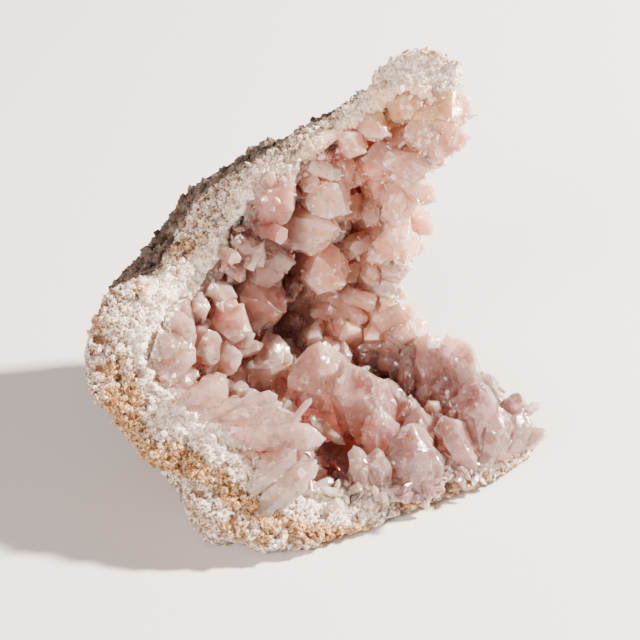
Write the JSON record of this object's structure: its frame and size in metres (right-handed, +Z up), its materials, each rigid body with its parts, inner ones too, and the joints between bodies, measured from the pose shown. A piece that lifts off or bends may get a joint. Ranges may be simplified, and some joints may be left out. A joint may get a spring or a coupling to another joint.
{
  "type": "amethyst geode",
  "caption": "Broken piece of a hollow geode: a rough chalky rock shell standing open to the front, lined with a crust of pale pink quartz points.",
  "frame": {"origin": "middle of the footprint of the whole piece, on the surface that it rests on", "axes": "+Z up, +X across the opening towards the low broken edge, -Y out of the hollow towards the viewer"},
  "size_m": [0.0751, 0.0632, 0.0661],
  "materials": {
    "rock": "rough, chalky and granular, white to tan on the broken rim, grey-brown on the rind",
    "quartz": "glassy translucent pink crystal faces, milky at the feet"
  },
  "bodies": {
    "root": {"geode_shell": "rock", "crystal_crust": "quartz"}
  },
  "joints": []
}
